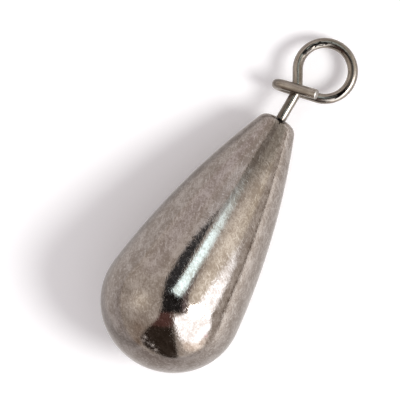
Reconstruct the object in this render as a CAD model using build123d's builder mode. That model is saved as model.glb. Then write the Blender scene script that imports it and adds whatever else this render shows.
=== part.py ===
"""A teardrop drop-shot sinker with a swivelling wire eye, in millimetres and degrees.

The sinker hangs: +Z is up along the axis that the eye turns about, the eye's ring faces -Y, and the origin
is on that axis where the line bears inside the ring.
"""
import os
from math import asin, atan2, cos, hypot, radians, sin, sqrt, tan

from build123d import *

# The drop: a belly that is a little less deep than round, a flank that leaves it just above its widest place
# and passes a middle diameter at a height above that place, a blunt tip
belly_diameter = 9.7
belly_depth = 4.69
body_length = 19.24
tip_diameter = 2.36
flank_start = 6.6
mid_flank_diameter = 6.98
mid_flank_height = 7.7
tip_rounding = 0.75
tip_rounding_share = 0.95

# The wire eye: a ring on two straight runs, the leg and the tail, that cross at a kink above the tip
wire_diameter = 0.7
eye_inner_diameter = 3.08
eye_neck = 0.5
eye_lean = 22.6
kink_height = 2.34
kink_radius = 0.6

# The hairpin round the kink: the tail passes behind it, turns, and comes back in front as a bar
wrap_gap = 0.03
hairpin_slack = 0.95
tail_rise = 0.06
bar_lean = 11.5
bar_tilt = 20
bar_reach = 1.26
cut_chamfer = 0.06

# The swivel inside the tip: a sleeve bonded in a blind hole, and a head on the wire below it
running_clearance = 0.05
sleeve_wall = 0.15
sleeve_length = 2.4
sleeve_chamfer = 0.05
bond_thickness = 0.05
bond_sink = 0.05
head_shoulder = 0.15
head_height = 0.5
head_chamfer = 0.1
end_float = 0.03
chamber_depth = 0.4
drill_point_angle = 118

# Radii that follow
belly_radius = belly_diameter / 2
mid_flank_radius = mid_flank_diameter / 2
tip_radius = tip_diameter / 2
wire_radius = wire_diameter / 2
eye_inner_radius = eye_inner_diameter / 2
ring_radius = eye_inner_radius + wire_radius
sleeve_bore_radius = wire_radius + running_clearance
sleeve_radius = sleeve_bore_radius + sleeve_wall
bore_radius = sleeve_radius + bond_thickness
head_radius = wire_radius + head_shoulder

# Heights that follow, down from the place where the line bears
eye_reach = ring_radius + eye_neck
eye_offset = eye_reach * sin(radians(eye_lean))
ring_z = -sqrt(eye_inner_radius**2 - eye_offset**2)
kink_z = ring_z - eye_reach * cos(radians(eye_lean))
tip_z = kink_z - kink_height
belly_z = tip_z - body_length + belly_depth
sleeve_foot_z = tip_z - sleeve_length
head_top_z = sleeve_foot_z - end_float
head_foot_z = head_top_z - head_height
bore_foot_z = head_foot_z - chamber_depth
drill_point_z = bore_foot_z - bore_radius / tan(radians(drill_point_angle / 2))

os.makedirs("parts", exist_ok=True)


def finish(piece, name):
    """Labels a finished piece and writes it."""
    piece.part.label = name
    export_step(piece.part, f"parts/{name}.step")


def bend(start, start_way, end, end_way):
    """Draws two arcs that leave start along start_way and arrive at end along end_way."""
    chord = end - start
    ways = start_way + end_way
    spread = 2 * (1 - start_way.dot(end_way))
    reach = (sqrt(chord.dot(ways) ** 2 + spread * chord.dot(chord)) - chord.dot(ways)) / spread
    middle = (start + end + (start_way - end_way) * reach) * 0.5
    first = TangentArc(start, middle, tangent=start_way)
    TangentArc(middle, end, tangent=first % 1)


# The drop, turned about its axis and drilled from the tip. The tip's rounding leaves the hole a rim.
with BuildPart() as weight_body:
    with BuildSketch(Plane.XZ):
        with BuildLine():
            belly_foot = Vector(0, belly_z - belly_depth)
            bend(belly_foot, Vector(1, 0), Vector(belly_radius, belly_z), Vector(0, 1))
            shoulder = CenterArc((0, belly_z), belly_radius, 0, flank_start)
            mid_flank = (mid_flank_radius, belly_z + mid_flank_height)
            lower_flank = TangentArc(shoulder @ 1, mid_flank, tangent=shoulder % 1)
            upper_flank = TangentArc(mid_flank, (tip_radius, tip_z), tangent=lower_flank % 1)
            Polyline(
                upper_flank @ 1,
                (bore_radius, tip_z),
                (bore_radius, bore_foot_z),
                (0, drill_point_z),
                belly_foot,
            )
        make_face()
    revolve(axis=Axis.Z)
    flank_way = upper_flank % 1
    tip_corner = radians(90) + atan2(-flank_way.X, flank_way.Y)
    widest_rounding = tip_rounding_share * (tip_radius - bore_radius) * tan(tip_corner / 2)
    tip_edges = weight_body.edges().filter_by(GeomType.CIRCLE).group_by(Axis.Z)[-1]
    fillet(tip_edges.sort_by(SortBy.RADIUS)[-1], min(tip_rounding, widest_rounding))
finish(weight_body, "weight_body")


# The sleeve, flush with the tip: the stem turns in it, and its foot holds the head
with BuildPart() as swivel_sleeve:
    with BuildSketch(Plane.XY.offset(sleeve_foot_z)):
        Circle(sleeve_radius)
        Circle(sleeve_bore_radius, mode=Mode.SUBTRACT)
    extrude(amount=sleeve_length)
    mouth_edge = swivel_sleeve.edges().group_by(Axis.Z)[-1].sort_by(SortBy.RADIUS)[0]
    lead_in_edge = swivel_sleeve.edges().group_by(Axis.Z)[0].sort_by(SortBy.RADIUS)[-1]
    chamfer([mouth_edge, lead_in_edge], sleeve_chamfer)
finish(swivel_sleeve, "swivel_sleeve")


# The resin between sleeve and hole, a little below the tip's face
with BuildPart() as bond_film:
    with BuildSketch(Plane.XY.offset(sleeve_foot_z + sleeve_chamfer)):
        Circle(bore_radius)
        Circle(sleeve_radius, mode=Mode.SUBTRACT)
    extrude(amount=sleeve_length - sleeve_chamfer - bond_sink)
finish(bond_film, "bond_film")


# The wire's line. Seen from the front, leg and tail are tangents to the ring, the leg from the kink and the
# tail from a little above it. From the kink on, the wire drifts evenly to the back, so that the tail passes
# behind the stem.
tail_height = ring_z - kink_z - tail_rise
tail_reach = hypot(eye_offset, tail_height)
leg_length = sqrt(eye_reach**2 - ring_radius**2)
tail_length = sqrt(tail_reach**2 - ring_radius**2)
ring_start = radians(180 - eye_lean) + asin(ring_radius / eye_reach)
ring_end = -atan2(eye_offset, tail_height) - asin(ring_radius / tail_reach)
ring_length = ring_radius * (ring_start - ring_end)
wrap_offset = wire_diameter + wrap_gap
drift = wrap_offset / (leg_length + ring_length + tail_length)
ring_centre = Vector(eye_offset, 0, ring_z)
ring_spans = 4


def ring_point(turned):
    """The wire's centre at a share of the ring's turn, clockwise from the leg round to the tail."""
    angle = ring_start + (ring_end - ring_start) * turned
    depth = drift * (leg_length + ring_length * turned)
    return ring_centre + Vector(ring_radius * cos(angle), depth, ring_radius * sin(angle))


def ring_way(turned):
    """The wire's direction at a share of the ring's turn."""
    angle = ring_start + (ring_end - ring_start) * turned
    return Vector(sin(angle), drift, -cos(angle)).normalized()


stem_way = Vector(0, 0, 1)
leg_way = ring_way(0)
tail_way = ring_way(1)
bar_level = cos(radians(bar_tilt))
bar_way = Vector(
    bar_level * cos(radians(bar_lean)),
    -sin(radians(bar_tilt)),
    bar_level * sin(radians(bar_lean)),
)

kink = Vector(0, 0, kink_z)
kink_cut = kink_radius * tan(radians(stem_way.get_angle(leg_way) / 2))
stem_end = kink - stem_way * kink_cut
leg_start = kink + leg_way * kink_cut

hairpin_x = wrap_offset - hairpin_slack - wire_diameter
tail_end = ring_point(1) + tail_way * ((hairpin_x - ring_point(1).X) / tail_way.X)
bar_pass = kink - Vector(0, wrap_offset / bar_level, 0)
bar_start = bar_pass + bar_way * (hairpin_x / bar_way.X)
bar_end = bar_pass + bar_way * (bar_reach / bar_way.X)


# The eye: one wire from the cut end of the bar down to an upset head inside the tip
with BuildPart() as eye_wire:
    with BuildLine():
        Line((0, 0, head_top_z), stem_end)
        TangentArc(stem_end, leg_start, tangent=stem_way)
        Line(leg_start, ring_point(0))
        for span in range(ring_spans):
            turned = span / ring_spans
            reached = (span + 1) / ring_spans
            bend(ring_point(turned), ring_way(turned), ring_point(reached), ring_way(reached))
        Line(ring_point(1), tail_end)
        bend(tail_end, tail_way, bar_start, bar_way)
        Line(bar_start, bar_end)
    with BuildSketch(Plane.XY.offset(head_top_z)):
        Circle(wire_radius)
    sweep()
    cut_face = eye_wire.faces().sort_by_distance(bar_end)[0]
    chamfer(cut_face.edges(), cut_chamfer)
    with BuildSketch(Plane.XY.offset(head_foot_z)):
        Circle(head_radius)
    extrude(amount=head_height)
    chamfer(eye_wire.edges().group_by(Axis.Z)[0], head_chamfer)
finish(eye_wire, "eye_wire")
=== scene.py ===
"""A polished teardrop sinker with a swivelling wire eye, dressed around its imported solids, in metres.

The sinker hangs along +Z, as its solids do. The white table that it lies on is a plane behind it, at +Y.
"""

from math import asin, atan2, cos, hypot, pi, radians, sin, sqrt, tan

import bmesh
import bpy
from mathutils import Matrix, Quaternion, Vector


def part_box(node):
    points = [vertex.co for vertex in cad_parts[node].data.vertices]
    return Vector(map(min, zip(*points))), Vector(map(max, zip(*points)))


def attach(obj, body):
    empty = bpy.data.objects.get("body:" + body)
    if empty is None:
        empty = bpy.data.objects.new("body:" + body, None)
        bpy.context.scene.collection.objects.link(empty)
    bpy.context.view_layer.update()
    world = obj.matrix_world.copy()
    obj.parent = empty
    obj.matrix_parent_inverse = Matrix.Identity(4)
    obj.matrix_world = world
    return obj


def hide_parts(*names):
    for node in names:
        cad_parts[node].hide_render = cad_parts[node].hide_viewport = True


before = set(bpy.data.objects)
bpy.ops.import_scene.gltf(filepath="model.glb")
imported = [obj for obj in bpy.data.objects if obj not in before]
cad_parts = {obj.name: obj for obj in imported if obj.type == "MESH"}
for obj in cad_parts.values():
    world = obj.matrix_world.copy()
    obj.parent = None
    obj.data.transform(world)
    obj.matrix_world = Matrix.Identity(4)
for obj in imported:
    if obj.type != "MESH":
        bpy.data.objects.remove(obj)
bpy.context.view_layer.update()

MM = 0.001

# The drop: a belly a little less deep than round, a flank in two arcs, a rounded tip and a drilled hole
BELLY_RADIUS = 4.85 * MM
BELLY_DEPTH = 4.69 * MM
FLANK_START = radians(6.6)
MID_FLANK_RADIUS = 3.49 * MM
MID_FLANK_HEIGHT = 7.7 * MM
TIP_RADIUS = 1.18 * MM
TIP_ROUNDING = 0.75 * MM
BORE_RADIUS = 0.6 * MM
BORE_DEPTH = 3.33 * MM
DRILL_POINT_ANGLE = radians(118)

# The wire eye: a stem, a kink, a leg, a ring, a tail behind the stem, a hairpin and a bar in front of it
WIRE_RADIUS = 0.35 * MM
RING_RADIUS = 1.89 * MM
EYE_NECK = 0.5 * MM
EYE_LEAN = radians(22.6)
KINK_RADIUS = 0.6 * MM
WRAP_OFFSET = 0.73 * MM
TAIL_RISE = 0.06 * MM
HAIRPIN_X = -0.92 * MM
BAR_LEAN = radians(11.5)
BAR_TILT = radians(20)
BAR_REACH = 1.26 * MM
CUT_CHAMFER = 0.06 * MM
HEAD_RADIUS = 0.5 * MM
HEAD_HEIGHT = 0.5 * MM
HEAD_CHAMFER = 0.1 * MM

# Heights from the solids, and those that follow from where the line bears in the ring, at the origin
TIP_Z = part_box("weight_body")[1].z
BELLY_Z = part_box("weight_body")[0].z + BELLY_DEPTH
HEAD_FOOT_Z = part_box("eye_wire")[0].z
EYE_REACH = RING_RADIUS + EYE_NECK
EYE_OFFSET = EYE_REACH * sin(EYE_LEAN)
RING_Z = -sqrt((RING_RADIUS - WIRE_RADIUS) ** 2 - EYE_OFFSET**2)
KINK_Z = RING_Z - EYE_REACH * cos(EYE_LEAN)

# Where the flank leaves the belly, along which way, and where its lower arc ends
SHOULDER = Vector((BELLY_RADIUS * cos(FLANK_START), 0, BELLY_Z + BELLY_RADIUS * sin(FLANK_START)))
SHOULDER_WAY = Vector((-sin(FLANK_START), 0, cos(FLANK_START)))
MID_FLANK = Vector((MID_FLANK_RADIUS, 0, BELLY_Z + MID_FLANK_HEIGHT))

# A painted dark reflection at the front of the tip, below the stem: the stem's shaded side as the tip
# mirrors it
PAINTED_REFLECTION_PLACE = Vector((0.06 * MM, -1.12 * MM, TIP_Z - 0.2 * MM))

# The photograph's view: the drop's axis rises to the right, with the eye leaning away from the camera
AXIS_RISE = radians(59.3)
AXIS_LEAN = radians(-8)
PIXEL_SIZE = 0.0677 * MM
PICTURE_HEIGHT = 405
AIM = Vector((-1.82 * MM, 0, BELLY_Z + 6.9 * MM))
LENS = 1000
SENSOR = 36
TO_CAMERA = Vector((0, -cos(AXIS_LEAN), sin(AXIS_LEAN)))
AXIS_SEEN = Vector((0, sin(AXIS_LEAN), cos(AXIS_LEAN)))
ACROSS = Vector((1, 0, 0))
VIEW_RIGHT = ACROSS * sin(AXIS_RISE) + AXIS_SEEN * cos(AXIS_RISE)
VIEW_UP = AXIS_SEEN * sin(AXIS_RISE) - ACROSS * cos(AXIS_RISE)

# The table behind the drop, and how far it reaches in the view from where they touch
TABLE_LEAN = radians(9.5)
TABLE_LEFT = 200 * MM
TABLE_RIGHT = 85 * MM
TABLE_FRONT = 40 * MM
TABLE_BACK = 200 * MM

# How the metal mirrors the table, as painted light and shade: ways on it, to the right and up, towards
# its painted bright side, its painted dim side and the drop's painted shadow, and how far along them
# each starts and ends
LIGHT_WAY = Vector((0.96, -0.25, 0))
LIGHT_START = 0
LIGHT_END = 40 * MM
SHADE_WAY = Vector((-0.5, -0.87, 0))
SHADE_START = 3 * MM
SHADE_END = 30 * MM
SHADOW_WAY = Vector((-0.86, 0.51, 0))
SHADOW_START = 3.5 * MM
SHADOW_END = 9 * MM
SHADOW_SOFT = 3.5 * MM

# How edge-on the table is seen where it starts to vanish, and where it is gone
VANISH_START = 0.9
VANISH_END = 0.97

# The lamp over the table: its place, in degrees off the camera, its width and its energy
LAMP_RIGHT = 39
LAMP_UP = -14
LAMP_WIDTH = radians(22)
LAMP_ENERGY = 1.75

# How finely curves are drawn, past which angle an edge stays sharp, and how close vertices merge
DROP_STEPS = 224
BELLY_STEPS = 24
SHOULDER_STEPS = 4
FLANK_STEPS = 28
ROUNDING_STEPS = 12
WIRE_STEPS = 40
KINK_STEPS = 10
RING_SPANS = 4
RING_STEPS = 12
HAIRPIN_STEPS = 16
DROP_SHARP = radians(40)
EYE_SHARP = radians(35)
MERGE = MM / 10000

UP = Vector((0, 0, 1))
ORIGIN = Vector((0, 0, 0))


def add_camera():
    """Looks at the sinker as the photograph does, from far off through a long lens."""
    data = bpy.data.cameras.new("camera")
    data.lens = LENS
    data.sensor_width = SENSOR
    data.clip_start = MM
    camera = bpy.data.objects.new("camera", data)
    distance = PIXEL_SIZE * PICTURE_HEIGHT * LENS / SENSOR
    turn = Matrix((VIEW_RIGHT, VIEW_UP, TO_CAMERA)).transposed().to_4x4()
    camera.matrix_world = Matrix.Translation(AIM + TO_CAMERA * distance) @ turn
    bpy.context.scene.collection.objects.link(camera)
    bpy.context.scene.camera = camera


# Nodes

def add_node(tree, kind, inputs=None, **settings):
    """Adds a node. An input that is a socket is linked, and any other value is set."""
    node = tree.nodes.new(kind)
    for name, value in settings.items():
        setattr(node, name, value)
    for name, value in (inputs or {}).items():
        if isinstance(value, bpy.types.NodeSocket):
            tree.links.new(value, node.inputs[name])
        else:
            node.inputs[name].default_value = value
    return node


def calculate(tree, operation, first, second=0.0, third=0.0):
    """A Math node's result."""
    inputs = {0: first, 1: second, 2: third}
    return add_node(tree, "ShaderNodeMath", inputs, operation=operation).outputs[0]


def measure(tree, operation, first, second):
    """A Vector Math node's value."""
    inputs = {0: first, 1: second}
    return add_node(tree, "ShaderNodeVectorMath", inputs, operation=operation).outputs["Value"]


def fade(tree, value, start, end, low=0.0, high=1.0):
    """low where value is at start and high where it is at end, eased between."""
    inputs = {"Value": value, "From Min": start, "From Max": end, "To Min": low, "To Max": high}
    node = add_node(tree, "ShaderNodeMapRange", inputs, interpolation_type="SMOOTHSTEP")
    return node.outputs["Result"]


def between(tree, value, start, end, soft):
    """1 where value is between start and end, 0 outside."""
    after = fade(tree, value, start - soft, start + soft)
    before = fade(tree, value, end + soft, end - soft)
    return calculate(tree, "MULTIPLY", after, before)


def weigh(tree, share, first, second):
    """A level made of a share of second and the rest of first."""
    rest = calculate(tree, "MULTIPLY", first, 1 - share)
    return calculate(tree, "MULTIPLY_ADD", second, share, rest)


def blend_colours(tree, share, first, second):
    """first where share is 0 and second where it is 1."""
    inputs = {0: share, 6: first, 7: second}
    return add_node(tree, "ShaderNodeMix", inputs, data_type="RGBA").outputs[2]


# The room that the metal mirrors. Places in it are degrees off the camera, to the right and up.

WALL = (0.80, 0.74, 0.68, 1)
LIT_WALL = (1.3, 1.22, 1.08, 1)
SHADED_WALL = (0.54, 0.49, 0.44, 1)
BROWN_WALL = (0.40, 0.31, 0.245, 1)
HIGH_WALL = (0.86, 0.8, 0.81, 1)
PALE_WALL = (0.98, 0.96, 0.97, 1)
CURTAIN = (0.58, 0.555, 0.5, 1)
CURTAIN_FOOT = (0.38, 0.35, 0.32, 1)
CURTAIN_FOLD = (0.28, 0.26, 0.23, 1)
PEACH_WALL = (1.28, 1.2, 1.03, 1)
WARM_GLOW = (1.6, 1.52, 1.34, 1)
PEACH_GLOW = (2.0, 1.85, 1.7, 1)
WINDOW = (3.3, 3.5, 3.7, 1)
BLUE_LAMP = (2.35, 3.0, 3.15, 1)
BLUE_SHADE = (0.82, 0.92, 0.95, 1)
DARK_CARD = (0.03, 0.028, 0.028, 1)
DARK_POST = (0.07, 0.072, 0.078, 1)
BROWN_CARD = (0.30, 0.24, 0.24, 1)
RED_CARD = (0.2, 0.1, 0.09, 1)
DARK_PANEL = (0.06, 0.045, 0.035, 1)
SPECK = (1.9, 1.85, 1.85, 1)
RED_SPECK = (1.5, 0.95, 1.0, 1)
HORIZON = (0.4, 0.345, 0.3, 1)
FAR_FLOOR = (0.8, 0.78, 0.76, 1)
FILL = (0.642, 0.611, 0.626, 1)
TABLE_WHITE = (1.13, 1.13, 1.13, 1)
TABLE_MIRRORED = (0.81, 0.775, 0.755, 1)
TABLE_DIM = (0.58, 0.54, 0.53, 1)
TABLE_SHADED = (0.47, 0.445, 0.44, 1)
TABLE_BRIGHT = (1.5, 1.46, 1.4, 1)
WHITE = (1, 1, 1, 1)

# Where the horizon and the far floor begin, in degrees off the camera. The horizon shows on the right,
# above the lowest places, and fades in over these degrees to the right and up.
HORIZON_START = 88.3
HORIZON_END = 90.2
HORIZON_RIGHT = (-10, 30)
HORIZON_UP = (-56, -34)
FLOOR_START = 101
FLOOR_END = 103

# The lower card turns from red to dark between these heights
CARD_RED = -36
CARD_DARK = -44

# Corners of the larger panels, counterclockwise
WINDOW_SHAPE = [
    (2.5, -24.5),
    (11, -60),
    (20, -67),
    (45, -72),
    (52.5, -63.5),
    (67.5, -45),
    (68, -25),
    (66, -3),
]
WINDOW_TOP = [(23, -19.5), (58, -30), (77, -6.5), (65, 4), (48, 4.5)]
WINDOW_GLOW = [(14, -64), (20, -85), (34, -90), (50, -85), (62, -64)]
CURTAIN_SHAPE = [(15.5, 44), (76, 18), (76, 62), (21, 84)]
CURTAIN_EDGE = [(15.5, 46), (18.5, 45), (24, 84), (21, 84)]
BROWN_SHAPE = [(12, -16), (23, -16), (29.5, 15), (28, 22), (12, 22)]
POST_SHAPE = [(-15.5, 8), (4, 8), (11, 43.7), (-8, 45.2)]
LOWER_SHAPE = [(-18, -12), (-27, -33), (1, -33), (1, -12)]
DARK_SHAPE = [
    (1, -28),
    (-25, -28),
    (-46, -48),
    (-57, -66),
    (-52, -82),
    (-30, -96),
    (-8, -108),
    (10, -108),
    (5, -56),
]
CARD_SHAPE = [(-18.5, -16.5), (15, -16.5), (19, 6), (14, 14), (-15, 14)]
STRIP_SHAPE = [(0, 21.4), (12.8, 10.2), (29.2, 29.4), (19.1, 38.5)]


def panel(tree, place, corners, softness):
    """1 inside a panel and 0 outside, with a softness for each of its sides."""
    inside = 1.0
    for index, soft in enumerate(softness):
        start = Vector(corners[index])
        side = Vector(corners[(index + 1) % len(corners)]) - start
        normal = Vector((side.y, -side.x)).normalized()
        out = measure(tree, "DOT_PRODUCT", place, (normal.x, normal.y, -normal.dot(start)))
        inside = calculate(tree, "MULTIPLY", inside, fade(tree, out, soft, -soft))
    return inside


def patch(tree, place, centre, radius, soft):
    """1 inside a round patch and 0 outside."""
    return fade(tree, measure(tree, "DISTANCE", place, (*centre, 1)), radius + soft, radius - soft)


def add_room():
    """A pale room for the metal to mirror, with a window on the right and dark cards round the camera.

    The camera sees plain white, and the table gets an even fill.
    """
    world = bpy.data.worlds.new("room")
    world.use_nodes = True
    bpy.context.scene.world = world
    tree = world.node_tree
    tree.nodes.clear()
    way = add_node(tree, "ShaderNodeTexCoord").outputs["Generated"]
    to_right = measure(tree, "DOT_PRODUCT", way, VIEW_RIGHT)
    to_top = measure(tree, "DOT_PRODUCT", way, VIEW_UP)
    towards = measure(tree, "DOT_PRODUCT", way, TO_CAMERA)
    off_camera = calculate(tree, "DEGREES", calculate(tree, "ARCCOSINE", towards))
    across = calculate(tree, "POWER", to_right, 2)
    upwards = calculate(tree, "POWER", to_top, 2)
    length = calculate(tree, "SQRT", calculate(tree, "ADD", across, upwards))
    stretch = calculate(tree, "DIVIDE", off_camera, length)
    right = calculate(tree, "MULTIPLY", to_right, stretch)
    up = calculate(tree, "MULTIPLY", to_top, stretch)
    place = add_node(tree, "ShaderNodeCombineXYZ", {"X": right, "Y": up, "Z": 1.0}).outputs["Vector"]

    far_floor = fade(tree, off_camera, FLOOR_START, FLOOR_END)
    horizon = fade(tree, off_camera, HORIZON_START, HORIZON_END)
    horizon = calculate(tree, "MULTIPLY", horizon, fade(tree, right, *HORIZON_RIGHT))
    horizon = calculate(tree, "MULTIPLY", horizon, fade(tree, up, *HORIZON_UP))
    lower_card = blend_colours(tree, fade(tree, up, CARD_RED, CARD_DARK), RED_CARD, DARK_PANEL)
    layers = [
        # Light and shade on the walls
        (patch(tree, place, (-52, 2), radius=12, soft=16), LIT_WALL),
        (patch(tree, place, (-80, 24), radius=8, soft=12), SHADED_WALL),
        (patch(tree, place, (-58, -46), radius=14, soft=20), BROWN_WALL),
        (patch(tree, place, (-66, -74), radius=10, soft=10), BROWN_WALL),
        (patch(tree, place, (-84, -28), radius=10, soft=14), SHADED_WALL),
        (patch(tree, place, (-26, 72), radius=18, soft=20), HIGH_WALL),
        (patch(tree, place, (9, 68), radius=4, soft=7), SHADED_WALL),
        (patch(tree, place, (3, 52), radius=10, soft=9), PALE_WALL),
        # The curtain on the upper right
        (panel(tree, place, CURTAIN_SHAPE, softness=[3.5, 6, 12, 1.2]), CURTAIN),
        (patch(tree, place, (29, 49), radius=9, soft=5), CURTAIN_FOOT),
        (patch(tree, place, (17.5, 41.5), radius=4, soft=3), BLUE_SHADE),
        (panel(tree, place, CURTAIN_EDGE, softness=[4, 2, 3, 1.2]), CURTAIN_FOLD),
        # Glow above the window, and the floor's far side
        (patch(tree, place, (46.5, 6.5), radius=18, soft=13), WARM_GLOW),
        (patch(tree, place, (66, 14.5), radius=7, soft=7), PEACH_WALL),
        (horizon, HORIZON),
        (far_floor, FAR_FLOOR),
        # The window
        (panel(tree, place, WINDOW_GLOW, softness=[5, 5, 5, 5, 5]), PEACH_GLOW),
        (panel(tree, place, WINDOW_SHAPE, softness=[2, 3, 6, 5, 5, 4, 3, 2]), WINDOW),
        (panel(tree, place, WINDOW_TOP, softness=[3, 4, 5, 3.5, 2.5]), WINDOW),
        # Cards and panels round the camera
        (panel(tree, place, BROWN_SHAPE, softness=[2, 2.5, 2.5, 2.5, 3]), BROWN_CARD),
        (panel(tree, place, POST_SHAPE, softness=[2, 2.5, 1.6, 2]), DARK_POST),
        (panel(tree, place, LOWER_SHAPE, softness=[2, 2, 5, 2]), lower_card),
        (panel(tree, place, DARK_SHAPE, softness=[2, 2.5, 3.5, 4, 4, 4, 3, 5, 5]), lower_card),
        # Specks of light
        (patch(tree, place, (-47.5, -62.5), radius=2, soft=1.8), SPECK),
        (patch(tree, place, (-51.5, -70), radius=1.5, soft=1.5), SPECK),
        (patch(tree, place, (-36, -78), radius=2, soft=1.8), SPECK),
        (patch(tree, place, (-31, -87), radius=2, soft=1.8), SPECK),
        (patch(tree, place, (-43, -74), radius=1.2, soft=1.2), SPECK),
        (patch(tree, place, (59.5, -58), radius=2.8, soft=2.2), RED_SPECK),
        # The card at the camera, and the lamp above it
        (panel(tree, place, CARD_SHAPE, softness=[2, 2, 4, 3, 2]), DARK_CARD),
        (panel(tree, place, STRIP_SHAPE, softness=[2, 4.5, 9.5, 2]), BLUE_LAMP),
    ]
    colour = WALL
    for share, shade in layers:
        colour = blend_colours(tree, share, colour, shade)
    ray = add_node(tree, "ShaderNodeLightPath").outputs
    colour = blend_colours(tree, ray["Is Glossy Ray"], FILL, colour)
    colour = blend_colours(tree, ray["Is Camera Ray"], colour, WHITE)
    light = add_node(tree, "ShaderNodeBackground", {"Color": colour})
    add_node(tree, "ShaderNodeOutputWorld", {"Surface": light.outputs[0]})


def add_lamp():
    """A broad lamp from the right, which lays the sinker's soft shadow to the left."""
    data = bpy.data.lights.new("lamp", "SUN")
    data.angle = LAMP_WIDTH
    data.energy = LAMP_ENERGY
    lamp = bpy.data.objects.new("lamp", data)
    off_camera = hypot(LAMP_RIGHT, LAMP_UP)
    aside = (VIEW_RIGHT * LAMP_RIGHT + VIEW_UP * LAMP_UP) / off_camera
    to_lamp = TO_CAMERA * cos(radians(off_camera)) + aside * sin(radians(off_camera))
    lamp.matrix_world = to_lamp.to_track_quat("Z", "Y").to_matrix().to_4x4()
    bpy.context.scene.collection.objects.link(lamp)


def white_table():
    """White paint that holds the sinker's shadow, and that the metal mirrors in painted greys.

    The camera doesn't see it from below or edge-on, so that it never hides the sinker.
    """
    material = bpy.data.materials.new("white_table")
    material.use_nodes = True
    tree = material.node_tree
    tree.nodes.clear()
    ray = add_node(tree, "ShaderNodeLightPath").outputs
    place = add_node(tree, "ShaderNodeTexCoord").outputs["Object"]
    to_light = measure(tree, "DOT_PRODUCT", place, LIGHT_WAY)
    to_shade = measure(tree, "DOT_PRODUCT", place, SHADE_WAY)
    to_shadow = measure(tree, "DOT_PRODUCT", place, SHADOW_WAY)
    lit = fade(tree, to_light, LIGHT_START, LIGHT_END)
    shaded = fade(tree, to_shade, SHADE_START, SHADE_END)
    shadow = between(tree, to_shadow, SHADOW_START, SHADOW_END, SHADOW_SOFT)
    # A painted reflection of the table for glossy rays, with a painted bright side, dim side and shadow
    mirrored = blend_colours(tree, lit, TABLE_MIRRORED, TABLE_BRIGHT)
    mirrored = blend_colours(tree, shaded, mirrored, TABLE_DIM)
    mirrored = blend_colours(tree, shadow, mirrored, TABLE_SHADED)
    glow = add_node(tree, "ShaderNodeEmission", {"Color": mirrored}).outputs[0]
    paint = add_node(tree, "ShaderNodeBsdfDiffuse", {"Color": TABLE_WHITE}).outputs[0]
    clear = add_node(tree, "ShaderNodeBsdfTransparent").outputs[0]
    underside = add_node(tree, "ShaderNodeNewGeometry").outputs["Backfacing"]
    facing = add_node(tree, "ShaderNodeLayerWeight").outputs["Facing"]
    edge_on = fade(tree, facing, VANISH_START, VANISH_END)
    unseen = calculate(tree, "MAXIMUM", underside, edge_on)
    hidden = calculate(tree, "MULTIPLY", unseen, ray["Is Camera Ray"])
    glossy = ray["Is Glossy Ray"]
    upper = add_node(tree, "ShaderNodeMixShader", {0: glossy, 1: paint, 2: glow}).outputs[0]
    mixed = add_node(tree, "ShaderNodeMixShader", {0: hidden, 1: upper, 2: clear}).outputs[0]
    add_node(tree, "ShaderNodeOutputMaterial", {"Surface": mixed})
    return material


def add_table(material):
    """A flat table, which touches the drop where its flank leans as the table does."""
    bm = bmesh.new()
    bmesh.ops.create_grid(bm, x_segments=1, y_segments=1, size=0.5)
    size = Vector((TABLE_LEFT + TABLE_RIGHT, TABLE_FRONT + TABLE_BACK, 1))
    middle = Vector((TABLE_RIGHT - TABLE_LEFT, TABLE_BACK - TABLE_FRONT, 0)) / 2
    bmesh.ops.scale(bm, vec=size, verts=bm.verts)
    bmesh.ops.translate(bm, vec=middle, verts=bm.verts)
    table = new_object(bm, "table", [material])
    flank_centre = arc_of(SHOULDER, SHOULDER_WAY, MID_FLANK)[1]
    flank_radius = (MID_FLANK - flank_centre).length
    normal = Vector((0, -cos(TABLE_LEAN), -sin(TABLE_LEAN)))
    touch = Vector((0, flank_centre.x, flank_centre.z)) - normal * flank_radius
    to_top = normal.cross(VIEW_RIGHT).normalized()
    to_right = to_top.cross(normal)
    turn = Matrix((to_right, to_top, normal)).transposed().to_4x4()
    table.matrix_world = Matrix.Translation(touch) @ turn


def new_object(bm, name, materials):
    """Makes an object of a finished bmesh."""
    mesh = bpy.data.meshes.new(name)
    bm.to_mesh(mesh)
    bm.free()
    for material in materials:
        mesh.materials.append(material)
    piece = bpy.data.objects.new(name, mesh)
    bpy.context.scene.collection.objects.link(piece)
    return piece


# Materials

DRAWN = "drawn"

TUNGSTEN_DARK = (0.27, 0.227, 0.2, 1)
TUNGSTEN_PALE = (0.455, 0.41, 0.385, 1)
TUNGSTEN_FLECK = (0.56, 0.52, 0.5, 1)
TUNGSTEN_PAINTED_REFLECTION = (0.02, 0.016, 0.013, 1)
WIRE_DARK = (0.26, 0.225, 0.195, 1)
WIRE_PALE = (0.40, 0.36, 0.32, 1)
WIRE_PAINTED_SHADE = (0.12, 0.10, 0.084, 1)
WIRE_NEAR_BLACK = (0.012, 0.01, 0.009, 1)
CUT_DARK = (0.3, 0.28, 0.26, 1)
CUT_PALE = (0.46, 0.43, 0.41, 1)
STEEL_DARK = (0.36, 0.34, 0.32, 1)
STEEL_PALE = (0.46, 0.44, 0.42, 1)
RESIN_DARK = (0.02, 0.017, 0.015, 1)
RESIN_PALE = (0.06, 0.05, 0.045, 1)

# How deep scuffs and streaks are, how often they and the ragged edges of the wire's painted shade and
# marks change in a millimetre each way, and how the scuffs turn
SCUFF_DEPTH = 0.006 * MM
STREAK_DEPTH = 0.004 * MM
SCUFF_STRETCH = (7, 7, 1.6)
STREAK_STRETCH = (9, 9, 0.7)
RAGGED_STRETCH = (6, 6, 2.5)
FIRST_SCUFFS = (0.5, 0.3, 0)
CROSSING_SCUFFS = (-0.6, 0.9, 0.4)
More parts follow.
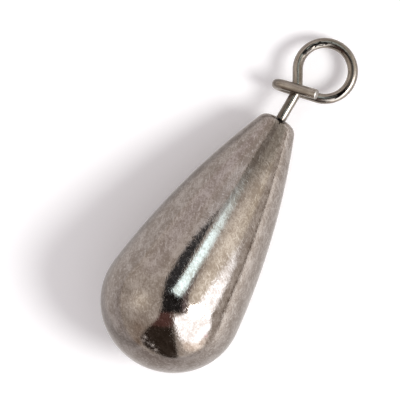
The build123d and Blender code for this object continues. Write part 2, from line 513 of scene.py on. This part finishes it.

# Painted shade and near-black marks on the wire: its front on ring and stem, and where the painted shade
# and the marks start and end along it and how softly, in millimetres on the straight wire
RING_FRONT = (0.24, -0.97, 0)
STEM_FRONT = (-0.4, -0.92, 0)
# Painted shade: on the front of ring and stem, and all round the stem's foot
RING_PAINTED_SHADE = (-3.1, 6.8, 0.4)
STEM_PAINTED_SHADE = (-5.9, -3.8, 0.3)
FOOT_PAINTED_SHADE = (-5.95, -5.55, 0.2)
FIRST_BEND = (-1.1, 1.5, 0.4)
LAST_BEND = (5.1, 6.2, 0.4)


def new_finish(name, metallic):
    """A new material, its node tree and its shader."""
    material = bpy.data.materials.new(name)
    material.use_nodes = True
    tree = material.node_tree
    shader = tree.nodes["Principled BSDF"]
    shader.inputs["Metallic"].default_value = metallic
    return material, tree, shader


def place_on(tree, scale=(1, 1, 1), turn=(0, 0, 0)):
    """Places on a piece, in millimetres, turned and then scaled for each way."""
    place = add_node(tree, "ShaderNodeTexCoord").outputs["Object"]
    turned = add_node(tree, "ShaderNodeMapping", {"Vector": place, "Rotation": turn}).outputs["Vector"]
    inputs = {"Vector": turned, "Scale": Vector(scale) / MM}
    return add_node(tree, "ShaderNodeMapping", inputs).outputs["Vector"]


def place_along_wire(tree, scale):
    """Places on the wire as it was before it was bent, in millimetres, with a scale for each way."""
    place = add_node(tree, "ShaderNodeAttribute", attribute_name=DRAWN).outputs["Vector"]
    inputs = {"Vector": place, "Scale": Vector(scale) / MM}
    return add_node(tree, "ShaderNodeMapping", inputs).outputs["Vector"]


def noise(tree, place, scale, detail=4.0, distortion=0.0):
    """A Noise node's level."""
    inputs = {"Vector": place, "Scale": scale, "Detail": detail, "Distortion": distortion}
    return add_node(tree, "ShaderNodeTexNoise", inputs).outputs["Fac"]


def add_relief(tree, shader, height, depth):
    """Raises a shader's surface by a height of a given depth."""
    bump = add_node(tree, "ShaderNodeBump", {"Height": height, "Strength": 1, "Distance": depth})
    tree.links.new(bump.outputs["Normal"], shader.inputs["Normal"])


def scuffs_along(tree, turn):
    """Scuffs that are drawn out along one way."""
    place = place_on(tree, SCUFF_STRETCH, turn)
    return noise(tree, place, scale=1, detail=3, distortion=0.6)


def tumbled_tungsten():
    """Warm grey heavy metal, tumbled to a polish with clouds, crossing scuffs and a fine grain, with a
    painted dark reflection of the stem on the tip.
    """
    material, tree, shader = new_finish("tumbled_tungsten", metallic=1)
    place = place_on(tree)
    clouds = noise(tree, place, scale=0.8, detail=5, distortion=1.2)
    grain = noise(tree, place, scale=11, detail=2, distortion=1)
    first_scuffs = scuffs_along(tree, FIRST_SCUFFS)
    scuffs = calculate(tree, "MAXIMUM", first_scuffs, scuffs_along(tree, CROSSING_SCUFFS))
    marks = weigh(tree, 0.4, scuffs, grain)
    worn = weigh(tree, 0.65, clouds, marks)
    colour = blend_colours(tree, fade(tree, worn, 0.43, 0.61), TUNGSTEN_DARK, TUNGSTEN_PALE)
    colour = blend_colours(tree, fade(tree, scuffs, 0.62, 0.74, high=0.6), colour, TUNGSTEN_FLECK)
    # A ragged painted dark reflection of the stem's shaded side, at the front of the tip
    to_painted_reflection = measure(tree, "DISTANCE", place, PAINTED_REFLECTION_PLACE / MM)
    ragged = noise(tree, place, scale=4, detail=3, distortion=0.5)
    ragged = calculate(tree, "MULTIPLY_ADD", ragged, 0.9, to_painted_reflection)
    colour = blend_colours(tree, fade(tree, ragged, 0.84, 0.68), colour, TUNGSTEN_PAINTED_REFLECTION)
    tree.links.new(colour, shader.inputs["Base Color"])
    roughness = fade(tree, scuffs, 0.45, 0.7, low=0.05, high=0.15)
    tree.links.new(roughness, shader.inputs["Roughness"])
    add_relief(tree, shader, scuffs, SCUFF_DEPTH)
    return material


def wire_shade_and_marks(tree):
    """How dark the wire is painted along its front and round the stem's foot, as painted shade, and
    where the ring's front goes near-black by its bends.
    """
    place = place_along_wire(tree, (1, 1, 1))
    along = add_node(tree, "ShaderNodeSeparateXYZ", {"Vector": place}).outputs["Z"]
    ragged = noise(tree, place_along_wire(tree, RAGGED_STRETCH), scale=1, detail=3, distortion=0.8)
    ring_front = fade(tree, measure(tree, "DOT_PRODUCT", place, RING_FRONT), 0.29, 0.345)
    stem_front = fade(tree, measure(tree, "DOT_PRODUCT", place, STEM_FRONT), 0.27, 0.345)
    ring = calculate(tree, "MULTIPLY", ring_front, between(tree, along, *RING_PAINTED_SHADE))
    stem = calculate(tree, "MULTIPLY", stem_front, between(tree, along, *STEM_PAINTED_SHADE))
    foot = between(tree, along, *FOOT_PAINTED_SHADE)
    # Painted shade on the fronts of ring and stem and round the stem's foot
    painted_shade = calculate(tree, "MAXIMUM", calculate(tree, "MAXIMUM", ring, stem), foot)
    painted_shade = calculate(tree, "MULTIPLY", painted_shade, fade(tree, ragged, 0.3, 0.6, low=0.65, high=0.95))
    first_bend = between(tree, along, *FIRST_BEND)
    last_bend = between(tree, along, *LAST_BEND)
    bent = calculate(tree, "MAXIMUM", first_bend, last_bend)
    # Near-black, ragged, on the ring's front by its two bends
    bend_front = calculate(tree, "MULTIPLY", bent, ring_front)
    near_black = fade(tree, calculate(tree, "MULTIPLY_ADD", bend_front, 0.35, ragged), 0.7, 0.8)
    return painted_shade, near_black


def drawn_wire():
    """Spring wire with streaks along it from drawing, painted shade on its front and round the stem's
    foot, and near-black marks by the ring's bends.
    """
    material, tree, shader = new_finish("drawn_wire", metallic=1)
    streaks = noise(tree, place_along_wire(tree, STREAK_STRETCH), scale=1, detail=3, distortion=0.3)
    blotches = noise(tree, place_on(tree), scale=1.6, detail=3, distortion=0.8)
    worn = weigh(tree, 0.4, streaks, blotches)
    painted_shade, near_black = wire_shade_and_marks(tree)
    colour = blend_colours(tree, fade(tree, worn, 0.38, 0.62), WIRE_DARK, WIRE_PALE)
    # Painted shade on the wire's front and round the stem's foot
    colour = blend_colours(tree, painted_shade, colour, WIRE_PAINTED_SHADE)
    colour = blend_colours(tree, near_black, colour, WIRE_NEAR_BLACK)
    tree.links.new(colour, shader.inputs["Base Color"])
    roughness = fade(tree, streaks, 0.35, 0.65, low=0.16, high=0.3)
    tree.links.new(roughness, shader.inputs["Roughness"])
    add_relief(tree, shader, streaks, STREAK_DEPTH)
    return material


def cut_wire():
    """The wire's freshly cut end, bright and rough."""
    material, tree, shader = new_finish("cut_wire", metallic=1)
    marks = noise(tree, place_on(tree), scale=12, detail=2)
    colour = blend_colours(tree, marks, CUT_DARK, CUT_PALE)
    tree.links.new(colour, shader.inputs["Base Color"])
    shader.inputs["Roughness"].default_value = 0.45
    return material


def turned_steel():
    """The sleeve's steel, with rings from turning."""
    material, tree, shader = new_finish("turned_steel", metallic=1)
    inputs = {"Vector": place_on(tree), "Scale": 3.0, "Distortion": 0.4}
    rings = add_node(tree, "ShaderNodeTexWave", inputs, wave_type="RINGS", rings_direction="Z")
    colour = blend_colours(tree, rings.outputs["Fac"], STEEL_DARK, STEEL_PALE)
    tree.links.new(colour, shader.inputs["Base Color"])
    shader.inputs["Roughness"].default_value = 0.3
    return material


def cured_resin():
    """Dark resin with a slightly uneven skin."""
    material, tree, shader = new_finish("cured_resin", metallic=0)
    skin = noise(tree, place_on(tree), scale=6)
    colour = blend_colours(tree, skin, RESIN_DARK, RESIN_PALE)
    tree.links.new(colour, shader.inputs["Base Color"])
    shader.inputs["Roughness"].default_value = 0.45
    return material


# Drawing

class Pen:
    """Draws vertices or edges of a bmesh along a line, run by run and arc by arc."""

    def __init__(self, bm, geom, place, way):
        self.bm = bm
        self.geom = geom
        self.place = place
        self.way = way
        self.length = place.z
        self.drawn = bm.verts.layers.float_vector.get(DRAWN)

    def step(self, length, **move):
        """Draws one step, and notes on its vertices how far along they are."""
        self.geom = bmesh.ops.spin(self.bm, geom=self.geom, steps=1, **move)["geom_last"]
        self.length += length
        for item in self.geom:
            if self.drawn and isinstance(item, bmesh.types.BMVert):
                item[self.drawn].z = self.length

    def run_to(self, end):
        """Draws a straight run."""
        along = end - self.place
        self.step(along.length, cent=ORIGIN, axis=UP, dvec=along, angle=0)
        self.place = end

    def arc_to(self, end, steps):
        """Draws an arc that leaves along the pen's way."""
        axis, centre, angle = arc_of(self.place, self.way, end)
        length = angle * (end - centre).length
        for _ in range(steps):
            self.step(length / steps, cent=centre, axis=axis, angle=angle / steps)
        self.place = end
        self.way = Quaternion(axis, angle) @ self.way

    def bend_to(self, end, end_way, steps):
        """Draws two arcs that leave along the pen's way and arrive at end along end_way."""
        chord = end - self.place
        ways = self.way + end_way
        spread = 2 * (1 - self.way.dot(end_way))
        root = sqrt(chord.dot(ways) ** 2 + spread * chord.length_squared)
        reach = (root - chord.dot(ways)) / spread
        middle = (self.place + end + (self.way - end_way) * reach) / 2
        self.arc_to(middle, steps)
        self.arc_to(end, steps)


def arc_of(start, way, end):
    """The axis, centre and angle of the arc that leaves start along way and ends at end."""
    chord = end - start
    axis = way.cross(chord).normalized()
    side = axis.cross(way)
    centre = start + side * (chord.length_squared / (2 * chord.dot(side)))
    return axis, centre, 2 * atan2(chord.dot(side), chord.dot(way))


def turn_about_axis(bm, steps):
    """Turns a drawn outline once round Z."""
    outline = bm.verts[:] + bm.edges[:]
    bmesh.ops.spin(bm, geom=outline, cent=ORIGIN, axis=UP, angle=2 * pi, steps=steps, use_merge=True)
    bmesh.ops.remove_doubles(bm, verts=bm.verts, dist=MERGE)


def close_and_smooth(bm, sharp_angle):
    """Turns the faces outwards, and shades them smooth between sharp edges."""
    bmesh.ops.recalc_face_normals(bm, faces=bm.faces)
    for face in bm.faces:
        face.smooth = True
    for edge in bm.edges:
        if edge.is_manifold and edge.calc_face_angle() > sharp_angle:
            edge.smooth = False


# Pieces

def make_drop(material):
    """The teardrop with its drilled tip."""
    bm = bmesh.new()
    foot = Vector((0, 0, BELLY_Z - BELLY_DEPTH))
    widest = Vector((BELLY_RADIUS, 0, BELLY_Z))
    pen = Pen(bm, [bm.verts.new(foot)], foot, ACROSS)
    pen.bend_to(widest, UP, BELLY_STEPS)
    pen.arc_to(SHOULDER, SHOULDER_STEPS)
    pen.arc_to(MID_FLANK, FLANK_STEPS)

    flank_centre = arc_of(MID_FLANK, pen.way, Vector((TIP_RADIUS, 0, TIP_Z)))[1]
    flank_radius = (MID_FLANK - flank_centre).length
    rounding_z = TIP_Z - TIP_ROUNDING
    rounding_span = sqrt((flank_radius - TIP_ROUNDING) ** 2 - (rounding_z - flank_centre.z) ** 2)
    rounding_centre = Vector((flank_centre.x + rounding_span, 0, rounding_z))
    rounding_start = rounding_centre + (rounding_centre - flank_centre).normalized() * TIP_ROUNDING
    pen.arc_to(rounding_start, FLANK_STEPS)
    pen.arc_to(rounding_centre + UP * TIP_ROUNDING, ROUNDING_STEPS)

    bore_foot_z = TIP_Z - BORE_DEPTH
    pen.run_to(Vector((BORE_RADIUS, 0, TIP_Z)))
    pen.run_to(Vector((BORE_RADIUS, 0, bore_foot_z)))
    pen.run_to(Vector((0, 0, bore_foot_z - BORE_RADIUS / tan(DRILL_POINT_ANGLE / 2))))
    turn_about_axis(bm, DROP_STEPS)
    close_and_smooth(bm, DROP_SHARP)
    return new_object(bm, "drop", [material])


def ring_place(turned):
    """The wire's centre and way at a share of the ring's turn, clockwise from the leg."""
    tail_height = RING_Z - KINK_Z - TAIL_RISE
    tail_reach = hypot(EYE_OFFSET, tail_height)
    start = pi - EYE_LEAN + asin(RING_RADIUS / EYE_REACH)
    end = -atan2(EYE_OFFSET, tail_height) - asin(RING_RADIUS / tail_reach)
    leg_length = sqrt(EYE_REACH**2 - RING_RADIUS**2)
    tail_length = sqrt(tail_reach**2 - RING_RADIUS**2)
    ring_length = RING_RADIUS * (start - end)
    drift = WRAP_OFFSET / (leg_length + ring_length + tail_length)
    angle = start + (end - start) * turned
    depth = drift * (leg_length + ring_length * turned)
    centre = Vector((EYE_OFFSET, depth, RING_Z))
    place = centre + Vector((cos(angle), 0, sin(angle))) * RING_RADIUS
    return place, Vector((sin(angle), drift, -cos(angle))).normalized()


def draw_head(bm, foot):
    """The upset head at the wire's foot, up to the ring of edges that the stem grows from."""
    pen = Pen(bm, [bm.verts.new(foot)], foot, ACROSS)
    pen.run_to(foot + ACROSS * (HEAD_RADIUS - HEAD_CHAMFER))
    pen.run_to(foot + ACROSS * HEAD_RADIUS + UP * HEAD_CHAMFER)
    pen.run_to(foot + ACROSS * HEAD_RADIUS + UP * HEAD_HEIGHT)
    pen.run_to(foot + ACROSS * WIRE_RADIUS + UP * HEAD_HEIGHT)
    turn_about_axis(bm, WIRE_STEPS)
    drawn = bm.verts.layers.float_vector[DRAWN]
    for vert in bm.verts:
        vert[drawn] = vert.co
    return [edge for edge in bm.edges if edge.is_boundary]


def draw_cut_end(pen):
    """Chamfers and closes the wire's end, whose faces show the cut metal."""
    bm = pen.bm
    before = set(bm.faces)
    pen.run_to(pen.place + pen.way * CUT_CHAMFER)
    rim = [item for item in pen.geom if isinstance(item, bmesh.types.BMVert)]
    shrink = (WIRE_RADIUS - CUT_CHAMFER) / WIRE_RADIUS
    bmesh.ops.scale(bm, vec=(shrink,) * 3, space=Matrix.Translation(-pen.place), verts=rim)
    rim_edges = [item for item in pen.geom if isinstance(item, bmesh.types.BMEdge)]
    bmesh.ops.holes_fill(bm, edges=rim_edges)
    for face in set(bm.faces) - before:
        face.material_index = 1


def make_eye(wire, cut):
    """The eye, bent of one wire: stem, kink, leg, ring, tail, hairpin and bar."""
    bm = bmesh.new()
    bm.verts.layers.float_vector.new(DRAWN)
    ring_start, leg_way = ring_place(0)
    ring_end, tail_way = ring_place(1)
    level = cos(BAR_TILT)
    bar_way = Vector((level * cos(BAR_LEAN), -sin(BAR_TILT), level * sin(BAR_LEAN)))
    kink = Vector((0, 0, KINK_Z))
    kink_cut = KINK_RADIUS * tan(UP.angle(leg_way) / 2)
    head_foot = Vector((0, 0, HEAD_FOOT_Z))
    tail_end = ring_end + tail_way * ((HAIRPIN_X - ring_end.x) / tail_way.x)
    bar_pass = kink - Vector((0, WRAP_OFFSET / level, 0))
    bar_start = bar_pass + bar_way * (HAIRPIN_X / bar_way.x)
    bar_end = bar_pass + bar_way * (BAR_REACH / bar_way.x - CUT_CHAMFER)

    pen = Pen(bm, draw_head(bm, head_foot), head_foot + UP * HEAD_HEIGHT, UP)
    pen.run_to(kink - UP * kink_cut)
    pen.arc_to(kink + leg_way * kink_cut, KINK_STEPS)
    pen.run_to(ring_start)
    for span in range(RING_SPANS):
        pen.bend_to(*ring_place((span + 1) / RING_SPANS), RING_STEPS)
    pen.run_to(tail_end)
    pen.bend_to(bar_start, bar_way, HAIRPIN_STEPS)
    pen.run_to(bar_end)
    draw_cut_end(pen)
    bmesh.ops.remove_doubles(bm, verts=bm.verts, dist=MERGE)
    close_and_smooth(bm, EYE_SHARP)
    return new_object(bm, "eye", [wire, cut])


def dress_node(name, material):
    """Gives a solid that stays as it is its finish."""
    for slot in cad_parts[name].material_slots:
        slot.material = material


add_camera()
add_room()
add_lamp()
add_table(white_table())
bpy.context.scene.view_settings.view_transform = "Standard"

drop = make_drop(tumbled_tungsten())
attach(drop, "weight")
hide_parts("weight_body")

eye = make_eye(drawn_wire(), cut_wire())
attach(eye, "eye")
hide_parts("eye_wire")

dress_node("swivel_sleeve", turned_steel())
dress_node("bond_film", cured_resin())
